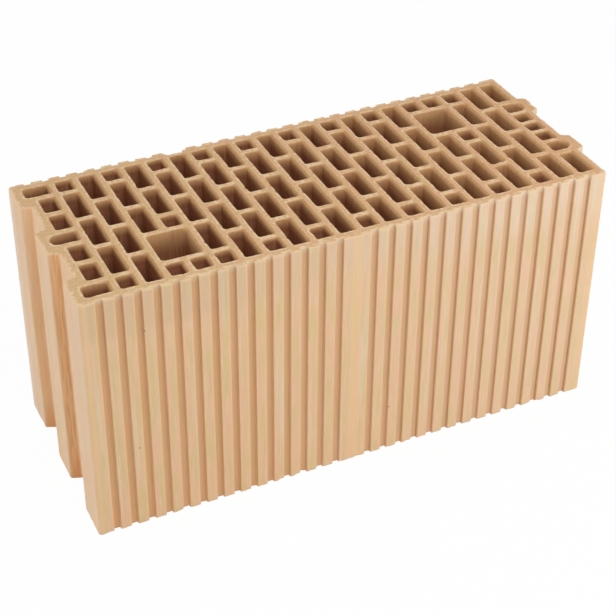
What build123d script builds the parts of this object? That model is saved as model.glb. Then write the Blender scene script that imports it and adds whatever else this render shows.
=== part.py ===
from build123d import *
import os

# Hollow clay block, one extruded and fired piece with its bed faces ground flat.
# Millimetres. X runs along the block, Y across it and Z up the cells. The origin is at the
# middle of the block's box, on the bed face that it stands on.

# Overall sizes, the length without the tongues
length = 498.0
width = 200.0
height = 249.0
corner_round = 3.0

# Walls and webs
shell_wall = 10.0
end_wall = 8.0
cross_web = 7.8
row_web = 5.8

# Cells, in columns across the block, every second column set half a cell over
cell_width = 14.0
cells_across = 4
cell_chamfer = 1.1
smallest_cell = 6.0

# Grip holes, each two columns wide, the second turned half round from the first
grip_column = 4
grip_row = 1
grip_round = 3.5

# Ribs of the long faces: upright grooves between flat crests, the whole pattern set a little to the left
rib_pitch = 16.45
rib_margin = 18.0
rib_offset = -1.2
rib_groove_mouth = 6.9
rib_groove_floor = 5.8
rib_groove_depth = 2.8
rib_round = 0.5

# Tongues on the right end and the grooves for them in the left end
tongue_offset = 39.5
tongue_base = 29.0
tongue_tip = 22.0
tongue_height = 7.5
tongue_round = 2.5
end_groove_mouth = 44.4
end_groove_floor = 36.4
end_groove_depth = 10.0
end_groove_round = 1.5
land_round = 2.0

# Cells of the first column, which follow the lands and grooves of the left end
land_wall = 9.5
corner_cell = 15.7
corner_cell_round = 3.0
nose_cell = 15.2
first_row_web = 6.7

# Cells of the last column, which follow the tongues of the right end
tongue_wall = 11.0
tongue_cell = 16.0
outer_tongue_web = 7.0
inner_tongue_web = 5.0
middle_cell = 13.8

# Places along X
overall_length = length + tongue_height
left_end = -overall_length / 2
right_end = left_end + length
middle = (left_end + right_end) / 2

# Columns, as many as fit between the end walls, centred there
column_pitch = cell_width + cross_web
columns_from = left_end + end_groove_depth + end_wall
columns_to = right_end - end_wall
column_count = int((columns_to - columns_from + cross_web) // column_pitch)
columns_length = column_count * column_pitch - cross_web
first_column_x = (columns_from + columns_to - columns_length) / 2

# Rows within a column
inner_half = width / 2 - shell_wall
long_cell = (2 * inner_half - (cells_across - 1) * row_web) / cells_across
row_pitch = long_cell + row_web


def column_left(column):
    """X of a column's left side, the columns counted from 1 at the left end."""
    return first_column_x + (column - 1) * column_pitch


def column_right(column):
    return column_left(column) + cell_width


def row_spans(column):
    """Y spans of a plain column's cells: even columns are set half a cell over."""
    count = cells_across + 1 if column % 2 == 0 else cells_across
    centres = [(row - (count - 1) / 2) * row_pitch for row in range(count)]
    return [(max(y - long_cell / 2, -inner_half), min(y + long_cell / 2, inner_half)) for y in centres]


def clear_of(spans, low, high):
    """The spans cut back to leave low..high whole, without what is too short for a cell."""
    below = [(start, min(end, low)) for start, end in spans]
    above = [(max(start, high), end) for start, end in spans]
    return [(start, end) for start, end in below + above if end - start > smallest_cell]


def plan_box(x_from, x_to, y_from, y_to):
    return Pos((x_from + x_to) / 2, (y_from + y_to) / 2) * Rectangle(x_to - x_from, y_to - y_from)


def box_cell(x_from, x_to, y_from, y_to):
    return chamfer(plan_box(x_from, x_to, y_from, y_to).vertices(), cell_chamfer)


def land_cell(x_from, x_to, y_from, y_to):
    """A cell of an outer land, with rounder corners towards the left end."""
    plain = plan_box(x_from, x_to, y_from, y_to)
    flat = chamfer(plain.vertices().sort_by(Axis.X)[2:], cell_chamfer)
    return fillet(flat.vertices().sort_by(Axis.X)[:2], corner_cell_round)


def round_nose_cell(x_flat, x_nose, y, size):
    """A cell of the given size across, square at x_flat and fully rounded at x_nose."""
    toward = 1 if x_nose > x_flat else -1
    x_centre = x_nose - toward * size / 2
    square = plan_box(*sorted((x_flat, x_centre)), y - size / 2, y + size / 2)
    flat_corners = square.vertices().sort_by(Axis.X, reverse=toward < 0)[:2]
    return chamfer(flat_corners, cell_chamfer) + Pos(x_centre, y) * Circle(size / 2)


def grip_holes():
    """The two grip holes: their first columns and the Y of their middles."""
    y = (grip_row - cells_across / 2) * row_pitch
    return [(grip_column, y), (column_count - grip_column, -y)]


def plain_cells():
    cells = []
    for column in range(2, column_count):
        spans = row_spans(column)
        for grip_first, y in grip_holes():
            if column in (grip_first, grip_first + 1):
                reach = long_cell / 2 + row_web
                spans = clear_of(spans, y - reach, y + reach)
        cells += [box_cell(column_left(column), column_right(column), *span) for span in spans]
    return cells


def grip_cells():
    holes = [
        plan_box(column_left(first), column_right(first + 1), y - long_cell / 2, y + long_cell / 2)
        for first, y in grip_holes()
    ]
    return [fillet(hole.vertices(), grip_round) for hole in holes]


def first_column_cells():
    """Wide cells in the outer lands, a round-nosed one in the middle land, two behind each groove."""
    right = column_right(1)
    cells = [round_nose_cell(right, left_end + end_wall, 0, nose_cell)]
    corner_inner = inner_half - corner_cell
    inner, outer = nose_cell / 2 + first_row_web, corner_inner - first_row_web
    size = (outer - inner - first_row_web) / 2
    for side in (-1, 1):
        cells.append(land_cell(left_end + land_wall, right, *sorted((side * corner_inner, side * inner_half))))
        for start in (inner, outer - size):
            cells.append(box_cell(column_left(1), right, *sorted((side * start, side * (start + size)))))
    return cells


def last_column_cells():
    """A round-nosed cell in each tongue, small ones between them and a long one to each side."""
    left, right = column_left(column_count), column_right(column_count)
    cells = [box_cell(left, right, -middle_cell / 2, middle_cell / 2)]
    inner = (middle_cell / 2 + inner_tongue_web, tongue_offset - tongue_cell / 2 - inner_tongue_web)
    outer = (tongue_offset + tongue_cell / 2 + outer_tongue_web, inner_half)
    for side in (-1, 1):
        nose = right_end + tongue_height - tongue_wall
        cells.append(round_nose_cell(left, nose, side * tongue_offset, tongue_cell))
        for start, end in (inner, outer):
            cells.append(box_cell(left, right, *sorted((side * start, side * end))))
    return cells


def rib_corners(with_middle):
    """Corners of one long face, left to right, as (x, depth, radius): at every pitch a groove
    with rounded crest edges and a sharp-cornered floor."""
    reach = int((length / 2 - rib_margin) // rib_pitch)
    places = [step for step in range(-reach, reach + 1) if step or with_middle]
    corners = []
    for step in places:
        x = middle + rib_offset + step * rib_pitch
        corners += [
            (x - rib_groove_mouth / 2, 0, rib_round),
            (x - rib_groove_floor / 2, rib_groove_depth, 0),
            (x + rib_groove_floor / 2, rib_groove_depth, 0),
            (x + rib_groove_mouth / 2, 0, rib_round),
        ]
    return corners


def end_corners(out, wide, narrow, base_round, tip_round):
    """Corners of one end, from -Y to +Y, as (out, y, radius): a trapezoid at each tongue place."""
    corners = []
    for y in (-tongue_offset, tongue_offset):
        corners += [
            (0, y - wide / 2, base_round),
            (out, y - narrow / 2, tip_round),
            (out, y + narrow / 2, tip_round),
            (0, y + wide / 2, base_round),
        ]
    return corners


def outline():
    """The block's outer edge as one closed path, walked anticlockwise from the front left corner."""
    half = width / 2
    front = [(x, depth - half, radius) for x, depth, radius in rib_corners(with_middle=False)]
    back = [(x, half - depth, radius) for x, depth, radius in rib_corners(with_middle=True)]
    tongues = end_corners(tongue_height, tongue_base, tongue_tip, end_groove_round, tongue_round)
    grooves = end_corners(end_groove_depth, end_groove_mouth, end_groove_floor, land_round, end_groove_round)
    corners = [(left_end, -half, corner_round)] + front + [(right_end, -half, corner_round)]
    corners += [(right_end + out, y, radius) for out, y, radius in tongues]
    corners += [(right_end, half, corner_round)] + back[::-1] + [(left_end, half, corner_round)]
    corners += [(left_end + out, y, radius) for out, y, radius in grooves[::-1]]
    points = [(x, y) for x, y, _ in corners]
    return FilletPolyline(*points, radius=[radius for _, _, radius in corners], close=True)


def brick():
    section = make_face(outline())
    section -= plain_cells() + grip_cells() + first_column_cells() + last_column_cells()
    return extrude(section, height)


os.makedirs("parts", exist_ok=True)
export_step(brick(), "parts/brick.step")
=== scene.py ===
import math

import bpy
import numpy as np
from mathutils import Matrix, Vector
from mathutils.geometry import delaunay_2d_cdt


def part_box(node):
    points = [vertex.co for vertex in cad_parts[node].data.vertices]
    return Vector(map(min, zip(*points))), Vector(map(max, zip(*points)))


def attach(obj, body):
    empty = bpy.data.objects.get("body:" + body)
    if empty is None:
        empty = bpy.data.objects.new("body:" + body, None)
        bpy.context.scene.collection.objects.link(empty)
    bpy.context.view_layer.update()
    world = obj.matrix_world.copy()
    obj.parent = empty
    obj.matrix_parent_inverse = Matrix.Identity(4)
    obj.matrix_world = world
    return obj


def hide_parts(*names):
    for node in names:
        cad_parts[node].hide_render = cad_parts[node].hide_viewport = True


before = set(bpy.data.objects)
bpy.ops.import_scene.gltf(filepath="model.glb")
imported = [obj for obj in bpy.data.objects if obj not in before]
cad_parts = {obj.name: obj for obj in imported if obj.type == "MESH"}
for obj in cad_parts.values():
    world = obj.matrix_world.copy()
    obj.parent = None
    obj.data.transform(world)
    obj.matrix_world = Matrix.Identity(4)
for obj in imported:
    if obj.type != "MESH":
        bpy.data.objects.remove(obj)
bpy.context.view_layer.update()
lowCorner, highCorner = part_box("brick")
print("stage: frame loaded")

# The block's section, with lengths in metres. Its length, width and height come from the frame.
section = {
    "cornerRound": 0.003,
    "shellWall": 0.010,         # from the crests of a long face to the cells
    "endWall": 0.008,           # from an end, or a groove's floor in it, to the cells
    "crossWeb": 0.0078,         # between two columns
    "rowWeb": 0.0058,           # between two cells of a column
    "cellWidth": 0.014,
    "cellsAcross": 4,           # in an odd column
    "cellRound": 0.0018,
    "smallestCell": 0.006,      # nothing shorter is left beside a grip hole
    "gripColumn": 4,            # a grip hole takes this column and the next, from its own end
    "gripRow": 1,               # its middle lies this many rows in from its own long face
    "gripRound": 0.0035,
    "ribPitch": 0.01645,
    "ribMargin": 0.018,         # no groove's middle is nearer than this to an end
    "ribShift": -0.0012,        # of the whole pattern along the block
    "ribMouth": 0.0069,
    "ribFloor": 0.0058,
    "ribDepth": 0.0028,
    "ribRound": 0.0005,
    "tongueOffset": 0.0395,     # of each tongue and end groove from the middle
    "tongueBase": 0.029,
    "tongueTip": 0.022,
    "tongueHeight": 0.0075,
    "tongueRound": 0.0025,
    "endGrooveMouth": 0.0444,
    "endGrooveFloor": 0.0364,
    "endGrooveDepth": 0.010,
    "endGrooveRound": 0.0015,
    "landRound": 0.002,         # where an end groove meets a land
    "landWall": 0.0095,         # from the grooved end to the corner cells
    "cornerCell": 0.0157,       # their size across the block
    "cornerCellRound": 0.003,
    "noseCell": 0.0152,         # size across the block of the cell in the middle land
    "firstRowWeb": 0.0067,      # between the cells of the first column
    "tongueWall": 0.011,        # from a tongue's tip to its cell
    "tongueCell": 0.016,        # size across the block of that cell
    "outerTongueWeb": 0.007,
    "innerTongueWeb": 0.005,
    "middleCell": 0.0138,       # size across the block of the middle cell of the last column
}

leftEnd = lowCorner.x
rightEnd = highCorner.x - section["tongueHeight"]
halfWidth = highCorner.y
height = highCorner.z
innerHalf = halfWidth - section["shellWall"]
columnPitch = section["cellWidth"] + section["crossWeb"]
columnsFrom = leftEnd + section["endGrooveDepth"] + section["endWall"]
columnsTo = rightEnd - section["endWall"]
columnCount = int((columnsTo - columnsFrom + section["crossWeb"] + 1e-6) / columnPitch)
firstColumnX = (columnsFrom + columnsTo - columnCount * columnPitch + section["crossWeb"]) / 2
longCell = (2 * innerHalf - (section["cellsAcross"] - 1) * section["rowWeb"]) / section["cellsAcross"]
rowPitch = longCell + section["rowWeb"]


def columnLeft(column):
    return firstColumnX + (column - 1) * columnPitch


def columnRight(column):
    return columnLeft(column) + section["cellWidth"]


def rowSpans(column):
    # even columns are set half a cell over, and their end cells are cut off by the long walls
    count = section["cellsAcross"] + (column % 2 == 0)
    centres = [(row - (count - 1) / 2) * rowPitch for row in range(count)]
    return [(max(y - longCell / 2, -innerHalf), min(y + longCell / 2, innerHalf)) for y in centres]


def clearOf(spans, low, high):
    # what is left of the spans below low and above high, without the scraps
    below = [(start, min(end, low)) for start, end in spans]
    above = [(max(start, high), end) for start, end in spans]
    return [(start, end) for start, end in below + above if end - start > section["smallestCell"]]


def cellPlan():
    # every cell as (left, right, front, back, corner radius at the left, corner radius at the right)
    s = section
    small = s["cellRound"]
    gripY = (s["gripRow"] - s["cellsAcross"] / 2) * rowPitch
    grips = [(s["gripColumn"], gripY), (columnCount - s["gripColumn"], -gripY)]
    cells = []
    for column in range(2, columnCount):
        spans = rowSpans(column)
        for firstColumn, y in grips:
            if column in (firstColumn, firstColumn + 1):
                reach = longCell / 2 + s["rowWeb"]
                spans = clearOf(spans, y - reach, y + reach)
        cells += [(columnLeft(column), columnRight(column), *span, small, small) for span in spans]
    for firstColumn, y in grips:
        sides = columnLeft(firstColumn), columnRight(firstColumn + 1)
        cells.append((*sides, y - longCell / 2, y + longCell / 2, s["gripRound"], s["gripRound"]))

    # first column: a wide cell in each outer land, a nosed one in the middle land, two behind each groove
    left, right = columnLeft(1), columnRight(1)
    nose = s["noseCell"] / 2
    cells.append((leftEnd + s["endWall"], right, -nose, nose, nose, small))
    cornerInner = innerHalf - s["cornerCell"]
    inner, outer = nose + s["firstRowWeb"], cornerInner - s["firstRowWeb"]
    size = (outer - inner - s["firstRowWeb"]) / 2
    for side in (-1, 1):
        wide = leftEnd + s["landWall"], right, *sorted((side * cornerInner, side * innerHalf))
        cells.append((*wide, s["cornerCellRound"], small))
        for start in (inner, outer - size):
            cells.append((left, right, *sorted((side * start, side * (start + size))), small, small))

    # last column: a nosed cell in each tongue, small ones between them and a long one to each side
    left, right = columnLeft(columnCount), columnRight(columnCount)
    middle, nose = s["middleCell"] / 2, s["tongueCell"] / 2
    cells.append((left, right, -middle, middle, small, small))
    between = middle + s["innerTongueWeb"], s["tongueOffset"] - nose - s["innerTongueWeb"]
    beside = s["tongueOffset"] + nose + s["outerTongueWeb"], innerHalf
    for side in (-1, 1):
        y = side * s["tongueOffset"]
        cells.append((left, rightEnd + s["tongueHeight"] - s["tongueWall"], y - nose, y + nose, small, nose))
        for start, end in (between, beside):
            cells.append((left, right, *sorted((side * start, side * end)), small, small))
    return np.array(cells)


def outlineCorners():
    # the outer edge's corners as (x, y, radius), anticlockwise from the front left one
    s = section
    reach = int(((rightEnd - leftEnd) / 2 - s["ribMargin"]) / s["ribPitch"])
    steps = np.arange(-reach, reach + 1)
    across = np.array([-s["ribMouth"], -s["ribFloor"], s["ribFloor"], s["ribMouth"]]) / 2
    depth = np.array([0, s["ribDepth"], s["ribDepth"], 0])

    def face(steps):
        # four corners to a groove, at each step of the pitch from the face's middle
        x = ((leftEnd + rightEnd) / 2 + s["ribShift"] + steps[:, None] * s["ribPitch"] + across).ravel()
        return x, np.tile(depth, len(steps)), np.full(x.size, s["ribRound"])

    def end(edge, out, wide, narrow, rootRound, tipRound):
        # two trapezoids, wide at the edge and narrow where they reach out of it or into it
        places = np.array([-1, -1, -1, -1, 1, 1, 1, 1]) * s["tongueOffset"]
        y = places + np.tile([-wide / 2, -narrow / 2, narrow / 2, wide / 2], 2)
        x = edge + np.tile([0, out, out, 0], 2)
        return np.stack([x, y, np.tile([rootRound, tipRound, tipRound, rootRound], 2)], 1)

    frontX, frontDepth, frontRound = face(steps[steps != 0])
    backX, backDepth, backRound = face(steps)
    front = np.stack([frontX, frontDepth - halfWidth, frontRound], 1)
    back = np.stack([backX, halfWidth - backDepth, backRound], 1)[::-1]
    tongueWidths = s["tongueBase"], s["tongueTip"]
    grooveWidths = s["endGrooveMouth"], s["endGrooveFloor"]
    tongues = end(rightEnd, s["tongueHeight"], *tongueWidths, s["endGrooveRound"], s["tongueRound"])
    grooves = end(leftEnd, s["endGrooveDepth"], *grooveWidths, s["landRound"], s["endGrooveRound"])[::-1]
    places = (leftEnd, -halfWidth), (rightEnd, -halfWidth), (rightEnd, halfWidth), (leftEnd, halfWidth)
    corner = [np.array([[x, y, s["cornerRound"]]]) for x, y in places]
    return np.concatenate([corner[0], front, corner[1], tongues, corner[2], back, corner[3], grooves])


def roundedLoop(corners, count, steps=6):
    # closed loop with each corner turned by an arc, then walked in even steps. An arc runs between the two
    # tangent points, about a centre on the corner's bisector, radius / sin(half the angle) from the corner
    place, radius = corners[:, :2], corners[:, 2:3]
    before = np.roll(place, 1, 0) - place
    after = np.roll(place, -1, 0) - place
    before /= np.linalg.norm(before, axis=1, keepdims=True)
    after /= np.linalg.norm(after, axis=1, keepdims=True)
    halfAngle = np.arccos(np.clip((before * after).sum(1, keepdims=True), -1, 1)) / 2
    bisector = before + after
    bisector /= np.linalg.norm(bisector, axis=1, keepdims=True)
    centre = place + bisector * radius / np.sin(halfAngle)
    start = place + before * radius / np.tan(halfAngle) - centre
    end = place + after * radius / np.tan(halfAngle) - centre
    turn = (math.pi - 2 * halfAngle)[:, None]
    share = np.linspace(0, 1, steps)[None, :, None]
    arc = (np.sin((1 - share) * turn) * start[:, None] + np.sin(share * turn) * end[:, None]) / np.sin(turn)
    path = (centre[:, None] + arc).reshape(-1, 2)
    closed = np.concatenate([path, path[:1]])
    along = np.concatenate([[0], np.cumsum(np.linalg.norm(np.diff(closed, axis=0), axis=1))])
    at = np.arange(count) / count * along[-1]
    return np.stack([np.interp(at, along, closed[:, axis]) for axis in (0, 1)], 1)


def clumps(points, size, seed=0.0):
    # smooth random field from 0 to 1: random values on a lattice, blended between its corners
    cell = np.floor(points / size)
    part = points / size - cell
    part = part * part * (3 - 2 * part)
    total = np.zeros(len(points))
    for corner in np.ndindex(2, 2, 2):
        value = np.sin((cell + corner) @ np.array([12.9898, 78.233, 37.719]) + seed) * 43758.5453
        value -= np.floor(value)
        total += value * np.prod(np.where(corner, part, 1 - part), axis=1)
    return total


def inwardOf(loop):
    # which way each place of the outer edge crumbles: straight in from the long faces and the ends,
    # and towards a point inside the block at its four corners, so that the edge never crosses itself
    reach = 0.009
    centre = np.clip(loop, (leftEnd + reach, reach - halfWidth), (rightEnd - reach, halfWidth - reach))
    way = centre - loop
    onSide = np.abs(loop[:, 1]) < halfWidth - reach
    way[onSide] = np.stack([-np.sign(loop[onSide, 0]), np.zeros(onSide.sum())], 1)
    return way / np.linalg.norm(way, axis=1, keepdims=True)


# Wear of the ground edges: a fine ragged line, with larger crumbs here and there
wear = {
    "edge": 0.0004,       # how far every edge is broken back
    "ragged": 0.0009,     # fine unevenness
    "crumb": 0.0016,      # largest small breakout
    "crumbSize": 0.0055,  # length of a breakout along the edge
    "outerEdge": 0.0004,  # further rounding of the outer edge
    "softEdge": 0.0015,   # and of the cells' edges toward the tongued end, which are worn soft
    "most": 0.0021,       # no edge loses more than this, outside the large chip
    "chipX": -0.0965,     # the large chip in the back top edge
    "chipHalf": 0.0095,
    "chipDepth": 0.0066,
    "chipRagged": 0.0012,
    "chipSlope": 0.0028,  # it deepens over this length from each side
    "chipClear": (0.014, 0.0095),  # along and across the edge, where no loose points lie
}


def edgeLoss(loop, z, outer):
    # how far the edge has crumbled into the clay at each place, in metres: an even loss, two sizes of fine
    # unevenness, and a crumb where a coarser field is high, or in the chip the distance to a ragged line
    points = np.column_stack([loop, np.full(len(loop), z)])
    fine = clumps(points, 0.0012, 1.7) * 0.4 + clumps(points, 0.0031, 4.1) * 0.6
    crumb = np.clip(clumps(points, wear["crumbSize"], 9.3) * 2.6 - 1.55, 0, 1) ** 1.5
    uneven = wear["ragged"] * np.maximum(fine - 0.35, -0.3)
    broken = wear["crumb"] * crumb * (0.6 + 0.4 * fine)
    loss = np.minimum(wear["edge"] + uneven + broken, wear["most"])
    if outer and z > height / 2:
        reach = wear["chipHalf"] + wear["chipRagged"] * (clumps(points, 0.003, 2.2) - 0.5)
        bite = np.clip((reach - np.abs(loop[:, 0] - wear["chipX"])) / wear["chipSlope"], 0, 1)
        bite = bite * bite * (3 - 2 * bite) * (loop[:, 1] > halfWidth - 0.02)
        depth = wear["chipDepth"] * (0.82 + 0.36 * clumps(points, 0.0035, 6.4))
        loss = np.maximum(loss, bite * (depth - (halfWidth - loop[:, 1])))
    return loss


# Rows of the walls below an edge: how much of the edge's loss each keeps, how far down it lies, as a
# share of the loss plus a fixed depth in metres, and how much it counts as the edge itself
edgeRows = (
    (1.0, 0.0, 0.0, 1.0),
    (0.42, 0.55, 0.0001, 0.7),
    (0.1, 1.25, 0.0003, 0.3),
    (0.0, 1.9, 0.0008, 0.0),
)


def wallRows(loop, into, outer, middleRows):
    # rows of one wall, from the top edge to the bottom edge, as (rows, points, 3). An edge's row is the loop
    # moved into the clay by its share of the loss, and the rows between the edges run straight
    rows = []
    further = wear["outerEdge"] if outer else wear["softEdge"] * np.clip(into[:, 0], 0, 1)
    for top in (True, False):
        loss = edgeLoss(loop, height if top else 0.0, outer) + further
        if not outer:
            loss = np.minimum(loss, wear["most"] + wear["outerEdge"])
        part = []
        for keep, share, down, _ in edgeRows:
            fall = loss * share + down
            z = height - fall if top else fall
            part.append(np.column_stack([loop + into * (loss * keep)[:, None], z]))
        rows += part if top else part[::-1]
    upper, lower = rows[len(edgeRows) - 1], rows[len(edgeRows)]
    between = [upper + (lower - upper) * share for share in np.linspace(0, 1, middleRows + 2)[1:-1]]
    rows[len(edgeRows):len(edgeRows)] = between
    return np.array(rows)


def wallQuads(rows, count, first, outward):
    # quads between neighbouring rows of a closed wall, whose points are numbered row by row
    at = np.arange(rows * count).reshape(rows, count) + first
    right = np.roll(at, -1, 1)
    quads = np.stack([at[:-1], at[1:], right[1:], right[:-1]], -1).reshape(-1, 4)
    return quads if outward else quads[:, ::-1]


def betweenPoints(spacing, cells, seed):
    # loose points on a ground face, on a shaken triangular lattice, kept clear of every cell and of the
    # outer edge
    s = section
    random = np.random.default_rng(seed)
    x = np.arange(leftEnd, highCorner.x, spacing)
    y = np.arange(-halfWidth, halfWidth, spacing * 0.87)
    gridX, gridY = np.meshgrid(x, y)
    gridX[::2] += spacing / 2
    points = np.stack([gridX.ravel(), gridY.ravel()], 1)
    points += random.uniform(-0.3, 0.3, points.shape) * spacing
    gapX = np.maximum(cells[:, 0] - points[:, :1], points[:, :1] - cells[:, 1])
    gapY = np.maximum(cells[:, 2] - points[:, 1:], points[:, 1:] - cells[:, 3])
    clear = np.hypot(np.maximum(gapX, 0), np.maximum(gapY, 0)).min(1)
    offset = np.abs(np.abs(points[:, 1]) - s["tongueOffset"])

    def trapezoid(wide, narrow):
        # 1 within the narrow width, 0 past the wide one, straight between them
        return np.clip((wide / 2 - offset) / (wide / 2 - narrow / 2), 0, 1)

    left = leftEnd + s["endGrooveDepth"] * trapezoid(s["endGrooveMouth"], s["endGrooveFloor"])
    right = rightEnd + s["tongueHeight"] * trapezoid(s["tongueBase"], s["tongueTip"])
    margin = wear["most"] + wear["outerEdge"] + 0.0002
    inside = (points[:, 0] > left + margin) & (points[:, 0] < right - margin)
    inside &= np.abs(points[:, 1]) < halfWidth - s["ribDepth"] - margin
    along, across = wear["chipClear"]
    chipped = (np.abs(points[:, 0] - wear["chipX"]) < along) & (points[:, 1] > halfWidth - across)
    return points[inside & (clear > margin) & ~chipped]


def capTriangles(rims, loose):
    # triangles that fill the face between its outer rim and its cells, as indices into the rims and then
    # the loose points
    sizes = [len(rim) for rim in rims]
    starts = np.cumsum([0] + sizes[:-1])
    edges = []
    for size, start in zip(sizes, starts):
        ring = np.arange(size) + start
        edges += np.stack([ring, np.roll(ring, -1)], 1).tolist()
    points = np.concatenate([*rims, loose]) * 1000
    found = delaunay_2d_cdt([Vector(p) for p in points.tolist()], edges, [], 0, 1e-6)
    source = np.array([ids[0] for ids in found[3]])
    triangles = source[np.array(found[2])]
    a, b, c = (points[triangles[:, k]] for k in range(3))
    turned = (b - a)[:, 0] * (c - a)[:, 1] < (b - a)[:, 1] * (c - a)[:, 0]
    triangles[turned] = triangles[turned][:, ::-1]
    # a triangle on one rim alone is inside that rim when its corners follow the rim's own order
    owner = np.searchsorted(np.append(starts, len(points) - len(loose)), triangles, "right") - 1
    alone = (owner == owner[:, :1]).all(1)
    step = np.roll(triangles, -1, 1) - triangles
    ordered = np.prod(np.sign(step), axis=1) < 0
    outer, loosePoints = owner[:, 0] == 0, owner[:, 0] == len(rims)
    drop = alone & ~loosePoints & (outer != ordered)
    return triangles[~drop]


# How finely the block is meshed, with lengths in metres
fineness = {
    "outlinePoints": 2100,
    "cellPoints": 64,
    "wideCellPoints": 96,
    "wideCell": 0.02,        # from this width on a cell counts as wide
    "outerRows": 4,          # rows of the outer wall between its edges
    "topSpacing": 0.0021,    # of the loose points on the top face
    "bottomSpacing": 0.0045,
    "sunk": 0.00012,         # how far the loose points lie below the rims at most
    "sharpAngle": 34,        # degrees between faces, past which an edge is shaded sharp
}


def brickMesh():
    # the whole block: walls carried down each loop, and a triangulated face at the top and the bottom
    cells = cellPlan()
    loops = [roundedLoop(outlineCorners(), fineness["outlinePoints"])]
    for left, right, front, back, leftRound, rightRound in cells:
        corners = [(left, front, leftRound), (right, front, rightRound)]
        corners += [(right, back, rightRound), (left, back, leftRound)]
        isWide = right - left >= fineness["wideCell"]
        count = fineness["wideCellPoints" if isWide else "cellPoints"]
        loops.append(roundedLoop(np.array(corners), count))
    # how narrow and short each cell is, and so how soon the painted shade darkens its walls: 1 for the usual
    # ones
    across, along = cells[:, 1] - cells[:, 0], cells[:, 3] - cells[:, 2]
    narrow = section["cellWidth"] / across * (longCell / along) ** 0.4
    points, quads, triangles, topRims, bottomRims, inside, rim = [], [], [], [], [], [], []
    first = 0
    edgeShare = np.array([row[3] for row in edgeRows])
    for number, loop in enumerate(loops):
        ahead = np.roll(loop, -1, 0) - np.roll(loop, 1, 0)
        ahead /= np.linalg.norm(ahead, axis=1, keepdims=True)
        outward = np.stack([ahead[:, 1], -ahead[:, 0]], 1)
        isOuter = number == 0
        into = inwardOf(loop) if isOuter else outward
        rows = wallRows(loop, into, isOuter, fineness["outerRows"] if isOuter else 0)
        quads.append(wallQuads(len(rows), len(loop), first, isOuter))
        ring = np.arange(len(loop)) + first
        topRims.append(ring)
        bottomRims.append(ring + (len(rows) - 1) * len(loop))
        points.append(rows.reshape(-1, 3))
        shares = np.zeros(len(rows))
        shares[:len(edgeRows)], shares[-len(edgeRows):] = edgeShare, edgeShare[::-1]
        crisp = np.ones(len(loop)) if isOuter else 1 - 0.7 * np.clip(into[:, 0], 0, 1)
        rim.append(np.outer(shares, crisp).ravel())
        inside.append(np.full(len(rows) * len(loop), 0.0 if isOuter else narrow[number - 1]))
        first += len(rows) * len(loop)
    inside, rim, points = np.concatenate(inside), np.concatenate(rim), np.concatenate(points)
    top = topRims, fineness["topSpacing"], height, True
    bottom = bottomRims, fineness["bottomSpacing"], 0.0, False
    for rims, spacing, z, upward in (top, bottom):
        loose = betweenPoints(spacing, cells, 3 + upward)
        sunk = fineness["sunk"] * clumps(np.column_stack([loose, np.full(len(loose), z)]), 0.004)
        numbers = np.concatenate([*rims, np.arange(len(loose)) + len(points)])
        flat = numbers[capTriangles([points[ring, :2] for ring in rims], loose)]
        triangles.append(flat if upward else flat[:, ::-1])
        points = np.concatenate([points, np.column_stack([loose, z - sunk if upward else z + sunk])])
    marks = np.pad(np.stack([inside, rim], 1), ((0, len(points) - first), (0, 0)))
    return points, np.concatenate(quads), np.concatenate(triangles), marks


def makeObject(name, points, quads, triangles, marks):
    # marks: how narrow and short a cell each point belongs to, which sets how soon its painted shade
    # darkens, 0 outside, and how far it is a ground edge
    mesh = bpy.data.meshes.new(name)
    corners = np.concatenate([quads.ravel(), triangles.ravel()])
    totals = np.concatenate([np.full(len(quads), 4), np.full(len(triangles), 3)])
    mesh.vertices.add(len(points))
    mesh.vertices.foreach_set("co", points.astype(np.float32).ravel())
    mesh.loops.add(len(corners))
    mesh.loops.foreach_set("vertex_index", corners.astype(np.int32))
    mesh.polygons.add(len(totals))
    mesh.polygons.foreach_set("loop_start", (np.cumsum(totals) - totals).astype(np.int32))
    mesh.polygons.foreach_set("use_smooth", np.ones(len(totals), bool))
    mesh.update(calc_edges=True)
    mesh.validate()
    for column, mark in enumerate(("inside", "rim")):
        values = np.ascontiguousarray(marks[:, column], np.float32)
        mesh.attributes.new(mark, "FLOAT", "POINT").data.foreach_set("value", values)
    mesh.set_sharp_from_angle(angle=math.radians(fineness["sharpAngle"]))
    piece = bpy.data.objects.new(name, mesh)
    bpy.context.scene.collection.objects.link(piece)
    return piece


points, quads, triangles, marks = brickMesh()
brick = makeObject("fired_block", points, quads, triangles, marks)
print("stage: block of", len(points), "points and", 2 * len(quads) + len(triangles), "triangles")


class Wire:
    # a socket that can stand in a sum: every operator adds its Math node

    def __init__(self, shader, socket):
        self.shader, self.socket = shader, socket

    def __add__(self, other):
        return self.shader.maths("ADD", self, other)

    def __sub__(self, other):
        return self.shader.maths("SUBTRACT", self, other)

    def __rsub__(self, other):
        return self.shader.maths("SUBTRACT", other, self)

    def __mul__(self, other):
        return self.shader.maths("MULTIPLY", self, other)

    def __abs__(self):
        return self.shader.maths("ABSOLUTE", self)

    __radd__ = __add__
    __rmul__ = __mul__


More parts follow.
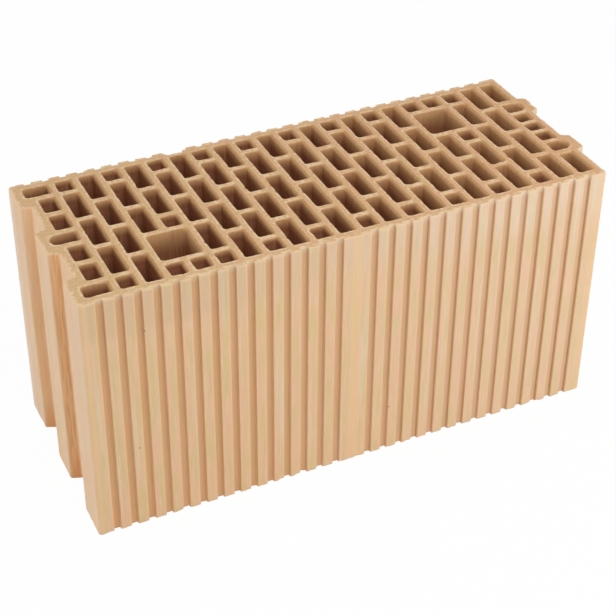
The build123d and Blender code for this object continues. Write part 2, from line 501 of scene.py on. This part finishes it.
class Shader:
    def __init__(self, owner):
        # owner: the material or the world whose nodes are made
        self.owner = owner
        owner.use_nodes = True
        self.tree = owner.node_tree
        self.tree.nodes.clear()

    def node(self, kind, settings=None, sockets=None, output=0):
        made = self.tree.nodes.new(kind)
        for name, value in (settings or {}).items():
            setattr(made, name, value)
        for name, value in (sockets or {}).items():
            if isinstance(value, Wire):
                self.tree.links.new(value.socket, made.inputs[name])
            else:
                made.inputs[name].default_value = value
        return Wire(self, made.outputs[output]) if made.outputs else None

    def maths(self, operation, first, second=0.0):
        return self.node("ShaderNodeMath", {"operation": operation}, {0: first, 1: second})

    def mark(self, name):
        return self.node("ShaderNodeAttribute", {"attribute_name": name}, {}, "Fac")

    def place(self):
        return self.node("ShaderNodeTexCoord", output="Object")

    def parts(self, vector):
        split = self.node("ShaderNodeSeparateXYZ", {}, {0: vector})
        return [Wire(self, socket) for socket in split.socket.node.outputs]

    def stretched(self, place, scale):
        return self.node("ShaderNodeMapping", {}, {"Vector": place, "Scale": scale})

    def noise(self, vector, scale, detail=2.0, roughness=0.5):
        sockets = {"Vector": vector, "Scale": scale, "Detail": detail, "Roughness": roughness}
        return self.node("ShaderNodeTexNoise", {}, sockets)

    def between(self, value, low, high):
        # 0 below low, 1 above high, smooth between them
        sockets = {"Value": value, "From Min": low, "From Max": high}
        return self.node("ShaderNodeMapRange", {"interpolation_type": "SMOOTHSTEP"}, sockets)

    def colours(self, share, first, second):
        # the first colour at share 0, the second at 1
        return self.node("ShaderNodeMix", {"data_type": "RGBA"}, {0: share, 6: first, 7: second}, 2)


def paint(red, green, blue):
    # a colour as seen on screen, 0 to 255, as the shader wants it
    seen = np.array([red, green, blue]) / 255
    linear = np.where(seen <= 0.04045, seen / 12.92, ((seen + 0.055) / 1.055) ** 2.4)
    return (*linear.tolist(), 1.0)


clay = {
    "skin": paint(228, 193, 147),
    "skinPink": paint(232, 184, 147),
    "skinYellow": paint(218, 190, 134),
    "skinPaleAndLit": paint(227, 209, 189),     # pale patches, and painted light that pales the upper right of the front most
    "skinDull": paint(203, 172, 138),     # the duller band under the top edge
    "rubbed": paint(247, 224, 196),       # darker lines that the die has drawn, also used as painted shade high on the grooves' steep sides
    "dieLinesAndShade": paint(204, 154, 114),      # darker lines that it has dragged
    # groove floors: an orange tone with painted shade, deeper at the left end
    "tintAndShadeGrooveFloor": paint(214, 165, 116),
    "tintAndShadeGrooveFloorRight": paint(220, 180, 143),
    "lightAndShadeGrooveSide": paint(236, 190, 143),   # the steep sides of the grooves, with painted light at the left end and painted shade at the right
    "lightAndShadeGrooveSideRight": paint(203, 156, 109),
    "crestEdge": paint(237, 197, 148),    # warmer edges of the crests
    "endLand": paint(229, 197, 165),
    "endTop": paint(238, 202, 160),       # the lands just under the top edge
    "endFar": paint(233, 217, 204),       # whitish outer part of the far land
    "endFlank": paint(232, 180, 122),     # orange sides of the end grooves
    "endBrown": paint(196, 136, 82),      # their streaks
    "endLow": paint(226, 158, 104),       # and their foot
    "wallRim": paint(217, 170, 118),      # walls of the cells, near the ground faces,
    "wallShadeMiddle": paint(148, 84, 50),     # painted shade a finger's width inside
    "wallShadeDeep": paint(171, 112, 79),      # and deep inside, where little light comes
    "groundYellow": paint(224, 187, 132),
    "groundPink": paint(231, 181, 144),
    # painted light: the cut face's warmer tone toward the right end
    "litGroundRight": paint(232, 173, 128),
    "groundPale": paint(242, 206, 164),
    "groundDark": paint(176, 130, 90),
    # pale broken edges, partly painted highlight where the rims catch the light
    "brokenAndLitEdge": paint(245, 216, 172),
    "speck": paint(140, 84, 58),
    "roughness": 0.86,
    "reliefStrength": 0.55,
    "reliefHeight": 0.0005,               # in metres
}


def skinColour(s, place, fine, cloud):
    # the extruded skin of the outside: upright streaks, patches, pale and dark lines, painted light toward
    # the upper right of the front, and a dull band
    x, _, z = s.parts(place)
    streak = s.noise(s.stretched(place, (1.0, 1.0, 0.02)), 240.0, 3.0)
    tint = s.noise(s.stretched(place, (1.0, 1.0, 0.25)), 90.0, 2.0)
    skin = s.colours(s.between(streak, 0.4, 0.6), clay["skin"], clay["skinPink"])
    skin = s.colours(s.between(tint, 0.42, 0.62) * 0.85, skin, clay["skinYellow"])
    broad = s.noise(s.stretched(place, (1.0, 1.0, 0.035)), 150.0, 1.0)
    skin = s.colours(s.between(broad, 0.55, 0.72) * 0.4, skin, clay["skinPaleAndLit"])
    skin = s.colours(s.between(broad, 0.42, 0.28) * 0.4, skin, clay["skinPink"])
    toRight = s.between(x, -0.25, 0.2)
    high = s.between(z + cloud * 0.05, 0.205, 0.262)
    # painted light: the front paled, with rubbed lines strengthened, toward its right end and its top
    litPaleShare = (0.1 + 0.16 * s.between(x, -0.1, 0.2) + high * (0.12 + 0.26 * toRight)) * (0.3 + 1.4 * streak)
    skin = s.colours(litPaleShare, skin, clay["skinPaleAndLit"])
    skin = s.colours(s.between(fine, 0.55, 0.75) * (0.3 + 0.15 * high * toRight), skin, clay["rubbed"])
    skin = s.colours(s.between(fine, 0.45, 0.28) * 0.2, skin, clay["dieLinesAndShade"])
    dull = s.between(z + cloud * 0.03, height - 0.03, height - 0.012) * (0.35 - 0.35 * toRight)
    return s.colours(dull, skin, clay["skinDull"])


def endColour(s, place, skin, upright, fine, normalX, faceDepth):
    # the pale lands of the grooved end and the orange, streaky sides of its grooves
    x, y, z = s.parts(place)
    patch = s.noise(s.stretched(place, (1.0, 1.0, 0.4)), 60.0, 2.0)
    wide = s.noise(upright, 120.0, 2.0)
    land = s.colours(s.between(patch, 0.5, 0.68) * 0.35, clay["endLand"], clay["skinPink"])
    land = s.colours(s.between(wide, 0.48, 0.66) * 0.35, land, clay["skinYellow"])
    land = s.colours(s.between(fine, 0.56, 0.74) * 0.25, land, clay["rubbed"])
    land = s.colours(s.between(y, 0.08, 0.094) * 0.5, land, clay["endFar"])
    atTop = s.between(z + patch * 0.03, height - 0.002, height + 0.008)
    land = s.colours(atTop * 0.35, land, clay["endTop"])
    near = s.between(y, 0.01, -0.02)
    pale = 0.4 + 0.35 * s.between(wide, 0.4, 0.6)
    side = s.colours(pale * (1 - 0.6 * near), clay["endFlank"], clay["endLand"])
    side = s.colours(s.between(fine, 0.56, 0.34) * (0.15 + 0.4 * near), side, clay["endBrown"])
    side = s.colours(s.between(z + patch * 0.02, 0.045, 0.012) * 0.7, side, clay["endLow"])
    atEnd = s.between(x, leftEnd + 0.0125, leftEnd + 0.011)
    skin = s.colours(atEnd * s.between(normalX, 0.6, 0.95), skin, land)
    flank = atEnd * s.between(faceDepth, 0.005, 0.008) * s.between(normalX, 0.95, 0.7)
    flank = flank * s.between(x, leftEnd - 0.001, leftEnd + 0.004)
    return s.colours(flank, skin, side)


def wallColour(s, place, upright, fine, cloud, inside):
    # the walls of the cells: as pale as the outside at the ground faces, and painted shade turns them brown
    # within a finger's width, deeper in the wide holes and toward the right, and sooner in the short ones
    x, _, z = s.parts(place)
    usual = s.between(inside, 0.45, 0.85) - 0.5 * s.between(inside, 0.95, 1.35)
    slower = 0.55 * s.between(x, -0.2, 0.15) * usual
    depth = s.maths("MINIMUM", z, height - z) + cloud * 0.008 - 0.004
    depth = depth * inside * (1 - slower)
    # painted shade: the wall goes from the rim colour to brown, then to the deep colour, with depth
    wall = s.colours(s.between(depth, 0.0, 0.011), clay["wallRim"], clay["wallShadeMiddle"])
    wall = s.colours(s.between(depth, 0.006, 0.013), wall, clay["wallShadeDeep"])
    wall = s.colours(s.between(fine, 0.5, 0.72) * s.between(depth, 0.03, 0.01) * 0.3, wall, clay["wallRim"])
    return s.colours(s.between(s.noise(upright, 300.0), 0.5, 0.7) * 0.25, wall, clay["wallShadeDeep"])


def groundColour(s, place, rim, grain, pit):
    # the ground face: soft yellow and pink patches, pinker and warmer toward the right as painted light,
    # open grain, pits, and pale broken edges, partly painted highlight
    patch = s.noise(place, 150.0, 3.0)
    toRight = s.between(s.parts(place)[0], -0.3, 0.25)
    # painted light: pinker and warmer toward the right end
    pink = s.between(patch, 0.38, 0.62) * (0.45 + 0.4 * toRight)
    cut = s.colours(pink, clay["groundYellow"], clay["groundPink"])
    cut = s.colours(toRight * 0.5, cut, clay["litGroundRight"])
    cut = s.colours(s.between(grain, 0.46, 0.7) * 0.55, cut, clay["groundPale"])
    cut = s.colours(s.between(pit, 0.6, 0.74) * 0.6, cut, clay["groundDark"])
    # pale broken edges along the rims, partly painted highlight
    broken = s.between(rim, 0.15, 0.65) * s.between(s.noise(place, 260.0, 3.0), 0.38, 0.56)
    broken = broken * s.between(s.noise(place, 55.0, 1.0), 0.25, 0.5)
    return s.colours(broken * 0.9, cut, clay["brokenAndLitEdge"])


def crestEdge(s, x):
    # how near a place of the long faces is to a groove's mouth, from its distance to the middle of the
    # nearest groove
    pitch = section["ribPitch"]
    turns = (x - (leftEnd + rightEnd) / 2 - section["ribShift"]) * (1 / pitch)
    offset = abs(turns - s.maths("ROUND", turns)) * pitch
    return s.between(offset, section["ribMouth"] / 2 + 0.0028, section["ribMouth"] / 2)


def clayMaterial():
    s = Shader(bpy.data.materials.new("firedClay"))
    place = s.place()
    x, y, z = s.parts(place)
    normal = s.parts(s.node("ShaderNodeNewGeometry", output="Normal"))
    normalX = abs(normal[0])
    inside, rim = s.mark("inside"), s.mark("rim")
    ground = s.between(abs(normal[2]), 0.75, 0.95)
    upright = s.stretched(place, (1.0, 1.0, 0.04))
    fine = s.noise(upright, 850.0, 2.0)
    cloud = s.noise(place, 24.0, 3.0)
    grain = s.noise(place, 480.0, 3.0, 0.65)
    pit = s.noise(place, 760.0, 2.0)

    # groove floors on the long faces, paler again where they run out at the top: an orange tone with painted
    # shade, and painted light and shade on their steep sides
    faceDepth = halfWidth - abs(y)
    floorShare = s.between(faceDepth, 0.0006, section["ribDepth"] * 0.8)
    floorShare = floorShare * s.between(faceDepth, 0.0065, 0.0045)
    floorShare = floorShare * s.between(z, height - 0.0015, height - 0.007)
    toRight = s.between(x, -0.22, 0.22)
    floorColour = s.colours(toRight, clay["tintAndShadeGrooveFloor"], clay["tintAndShadeGrooveFloorRight"])
    sideColour = s.colours(toRight, clay["lightAndShadeGrooveSide"], clay["lightAndShadeGrooveSideRight"])
    # painted shade, deeper on the steep sides toward the top
    sideColour = s.colours(s.between(z, 0.16, 0.22) * 0.55, sideColour, clay["dieLinesAndShade"])
    skin = skinColour(s, place, fine, cloud)
    skin = s.colours(crestEdge(s, x) * s.between(faceDepth, 0.001, 0.0002) * 0.5, skin, clay["crestEdge"])
    skin = s.colours(floorShare * 0.75, skin, floorColour)
    skin = s.colours(floorShare * s.between(normalX, 0.5, 0.85), skin, sideColour)
    skin = endColour(s, place, skin, upright, fine, normalX, faceDepth)

    # a few small dark specks
    dots = s.node("ShaderNodeTexVoronoi", {}, {"Vector": place, "Scale": 26.0})
    speck = s.between(dots + s.noise(place, 60.0) * 0.05, 0.062, 0.047)
    skin = s.colours(speck * 0.55, skin, clay["speck"])

    skin = s.colours(s.between(inside, 0.1, 0.3), skin, wallColour(s, place, upright, fine, cloud, inside))
    cut = groundColour(s, place, rim, grain, pit)
    worn = s.between(rim, 0.2, 0.9) * (1 - ground) * 0.6
    colour = s.colours(ground, s.colours(worn, skin, clay["groundPale"]), cut)

    relief = fine * 0.35 * (1 - ground) + grain * ground * 1.2 - s.between(pit, 0.6, 0.7) * ground * 0.6
    strength, distance = clay["reliefStrength"], clay["reliefHeight"]
    bump = s.node("ShaderNodeBump", {}, {"Strength": strength, "Distance": distance, "Height": relief})
    sockets = {"Base Color": colour, "Roughness": clay["roughness"], "Normal": bump}
    surface = s.node("ShaderNodeBsdfPrincipled", {}, sockets)
    s.node("ShaderNodeOutputMaterial", {}, {"Surface": surface})
    return s.owner


brick.data.materials.append(clayMaterial())
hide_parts("brick")
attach(brick, "root")
print("stage: clay material")

# Camera where the photograph was taken from
view = {
    "target": (-0.02044, 0.02688, 0.1482),
    "distance": 1.44793,
    "azimuth": -24.166,
    "elevation": 34.289,
    "roll": -0.218,
    "lens": 90.067,
    "shift": (0.045, -0.075),
}


def makeCamera():
    # the camera stands back from its target, turned round it by the azimuth and up by the elevation
    azimuth, elevation, roll = (math.radians(view[name]) for name in ("azimuth", "elevation", "roll"))
    level = math.cos(elevation)
    back = Vector((math.sin(azimuth) * level, -math.cos(azimuth) * level, math.sin(elevation)))
    data = bpy.data.cameras.new("camera")
    data.lens, data.sensor_width = view["lens"], 36.0
    data.shift_x, data.shift_y = view["shift"]
    camera = bpy.data.objects.new("camera", data)
    turn = (-back).to_track_quat("-Z", "Y").to_matrix().to_4x4() @ Matrix.Rotation(roll, 4, "Z")
    camera.matrix_world = Matrix.Translation(Vector(view["target"]) + back * view["distance"]) @ turn
    bpy.context.scene.collection.objects.link(camera)
    bpy.context.scene.camera = camera


# Soft studio light: power in watts, size and place in metres. Each lamp looks at the block's middle.
lamps = {
    "frontKey": {"power": 3.8, "size": 0.6, "place": (0.83, -0.85, 0.43)},
    "leftFill": {"power": 8.8, "size": 0.9, "place": (-1.7, 0.1, 0.28)},
    "topFront": {"power": 6.7, "size": 0.8, "place": (-0.05, -0.75, 1.35)},
    "backFill": {"power": 6.6, "size": 1.4, "place": (0.5, 2.2, 1.0)},
}
studio = {
    "world": 0.44,       # how light the surroundings are
    "floorWhite": 0.95,  # the floor's colour
    "floorGlow": 0.97,   # how much of it the camera sees as plain white, which leaves a light shadow
    "floorHalf": 6.0,    # half the floor's side
}


def makeLamp(name, settings):
    data = bpy.data.lights.new(name, "AREA")
    data.energy, data.size = settings["power"], settings["size"]
    lamp = bpy.data.objects.new(name, data)
    lamp.location = settings["place"]
    aim = Vector((0, 0, height / 2)) - lamp.location
    lamp.rotation_euler = aim.to_track_quat("-Z", "Y").to_euler()
    bpy.context.scene.collection.objects.link(lamp)


def seenDirectly(s):
    # 1 for the camera and for what is mirrored or seen through, 0 for light that falls on things
    rays = s.node("ShaderNodeLightPath").socket.node.outputs
    names = "Is Camera Ray", "Is Glossy Ray", "Is Transmission Ray"
    camera, glossy, through = (Wire(s, rays[name]) for name in names)
    return s.maths("MAXIMUM", camera, s.maths("MAXIMUM", glossy, through))


def makeFloor():
    s = Shader(bpy.data.materials.new("paleFloor"))
    white = studio["floorWhite"]
    plain = s.node("ShaderNodeBsdfDiffuse", {}, {"Color": (white, white, white, 1.0)})
    glow = s.node("ShaderNodeEmission", {}, {"Color": (1, 1, 1, 1), "Strength": 1.0})
    mixed = s.node("ShaderNodeMixShader", {}, {0: seenDirectly(s) * studio["floorGlow"], 1: plain, 2: glow})
    s.node("ShaderNodeOutputMaterial", {}, {"Surface": mixed})
    half = studio["floorHalf"]
    corners = [(-half, -half, 0), (half, -half, 0), (half, half, 0), (-half, half, 0)]
    mesh = bpy.data.meshes.new("floor")
    mesh.from_pydata(corners, [], [(0, 1, 2, 3)])
    floor = bpy.data.objects.new("floor", mesh)
    floor.data.materials.append(s.owner)
    bpy.context.scene.collection.objects.link(floor)


def makeWorld():
    s = Shader(bpy.data.worlds.new("studio"))
    rays = s.node("ShaderNodeLightPath").socket.node.outputs
    level = s.colours(Wire(s, rays["Is Camera Ray"]), (*[studio["world"]] * 3, 1.0), (1.0, 1.0, 1.0, 1.0))
    light = s.node("ShaderNodeBackground", {}, {"Color": level, "Strength": 1.0})
    s.node("ShaderNodeOutputWorld", {}, {"Surface": light})
    bpy.context.scene.world = s.owner


makeCamera()
for name, settings in lamps.items():
    makeLamp(name, settings)
makeFloor()
makeWorld()
bpy.context.scene.view_settings.view_transform = "Standard"
print("stage: camera and studio")
